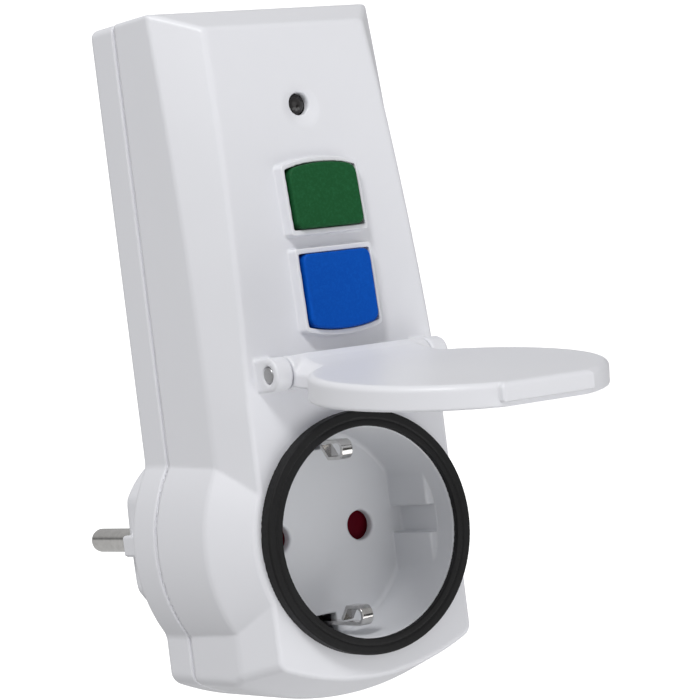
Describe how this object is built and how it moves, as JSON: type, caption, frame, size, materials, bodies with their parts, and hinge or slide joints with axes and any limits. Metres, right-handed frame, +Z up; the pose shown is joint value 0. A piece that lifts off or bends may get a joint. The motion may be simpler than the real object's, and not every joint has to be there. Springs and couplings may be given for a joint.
{
  "type": "rcd adapter plug",
  "caption": "Plug-in residual-current adapter: tall housing with reset and test buttons, an indicator and a lidded earthed socket in front of an earthed round-pin plug.",
  "frame": {"origin": "middle of the plug face, halfway between the two pins", "axes": "+Y along the pins towards the wall outlet, +Z up the housing, +X to the right seen from the front"},
  "size_m": [0.0588, 0.1443, 0.1298],
  "materials": {
    "housing_white": "glossy moulded plastic",
    "socket_grey": "satin moulded plastic",
    "seal_black": "soft matt rubber",
    "button_green": "satin moulded plastic",
    "button_blue": "satin moulded plastic",
    "shutter_red": "satin moulded plastic",
    "lens_smoke": "smoked clear plastic",
    "nickel": "bright nickel plating",
    "steel": "plain drawn steel",
    "brass": "stamped brass",
    "copper": "plain copper",
    "iron": "dark ferrite and soft iron",
    "board_green": "coated glass-fibre board",
    "inner_plastic": "plain moulded plastic",
    "component_coat": "dipped component coating"
  },
  "bodies": {
    "housing": {"board_screws": "steel", "capacitor": "component_coat", "carriage_guides": "steel", "circuit_board": "board_green", "control_chip": "inner_plastic", "earth_bridge": "copper", "front_housing": "housing_white", "housing_gasket": "seal_black", "housing_screws": "steel", "indicator_led": "lens_smoke", "indicator_lens": "lens_smoke", "lid_hinge_pin": "steel", "line_load_bar": "copper", "line_load_link": "copper", "line_pin": "nickel", "line_receptacle": "brass", "line_supply_bar": "copper", "lower_earth_clip": "nickel", "lower_plug_earth": "nickel", "magnet_coil": "copper", "magnet_yoke": "iron", "neutral_load_bar": "copper", "neutral_load_link": "copper", "neutral_pin": "nickel", "neutral_receptacle": "brass", "neutral_supply_bar": "copper", "opening_spring": "steel", "plug_nose": "housing_white", "rear_cover": "housing_white", "receptacle_holder": "inner_plastic", "reset_spring": "steel", "shutter_retainer": "steel", "shutter_spring": "steel", "socket_cup": "socket_grey", "socket_seal_ring": "seal_black", "terminal_block": "inner_plastic", "test_contact_dome": "brass", "test_resistor": "component_coat", "test_spring": "steel", "transformer_core": "iron", "transformer_winding": "copper", "upper_earth_clip": "nickel", "upper_plug_earth": "nickel", "varistor": "component_coat"},
    "lid": {"lid": "housing_white"},
    "reset": {"reset_button": "button_green"},
    "test": {"test_button": "button_blue"},
    "carriage": {"contact_carriage": "inner_plastic", "armature": "iron", "moving_contacts": "brass"},
    "shutter_plate": {"shutter": "shutter_red"}
  },
  "joints": [
    {"name": "lid_hinge", "type": "hinge", "parent": "housing", "child": "lid", "pos_m": [0, -0.0676, 0.031], "axis": [1, 0, 0], "range_deg": [-12, 83]},
    {"name": "reset_press", "type": "slide", "parent": "housing", "child": "reset", "axis": [0, 1, 0], "range_m": [0, 0.003], "stiffness_N_per_m": 600, "springref_m": -0.002, "deforming": ["reset_spring"]},
    {"name": "test_press", "type": "slide", "parent": "housing", "child": "test", "axis": [0, 1, 0], "range_m": [0, 0.002], "stiffness_N_per_m": 600, "springref_m": -0.002, "deforming": ["test_spring"]},
    {"name": "carriage_travel", "type": "slide", "parent": "housing", "child": "carriage", "axis": [0, 1, 0], "range_m": [0, 0.002], "deforming": ["opening_spring"]},
    {"name": "shutter_turn", "type": "hinge", "parent": "housing", "child": "shutter_plate", "pos_m": [0, -0.0457, 0], "axis": [0, 1, 0], "range_deg": [0, 42], "stiffness_Nm_per_rad": 0.002, "springref_deg": -17.19, "deforming": ["shutter_spring"]}
  ],
  "couplings": [
    {"joint": "carriage_travel", "follows": "reset_press", "ratio": 0.6666}
  ]
}
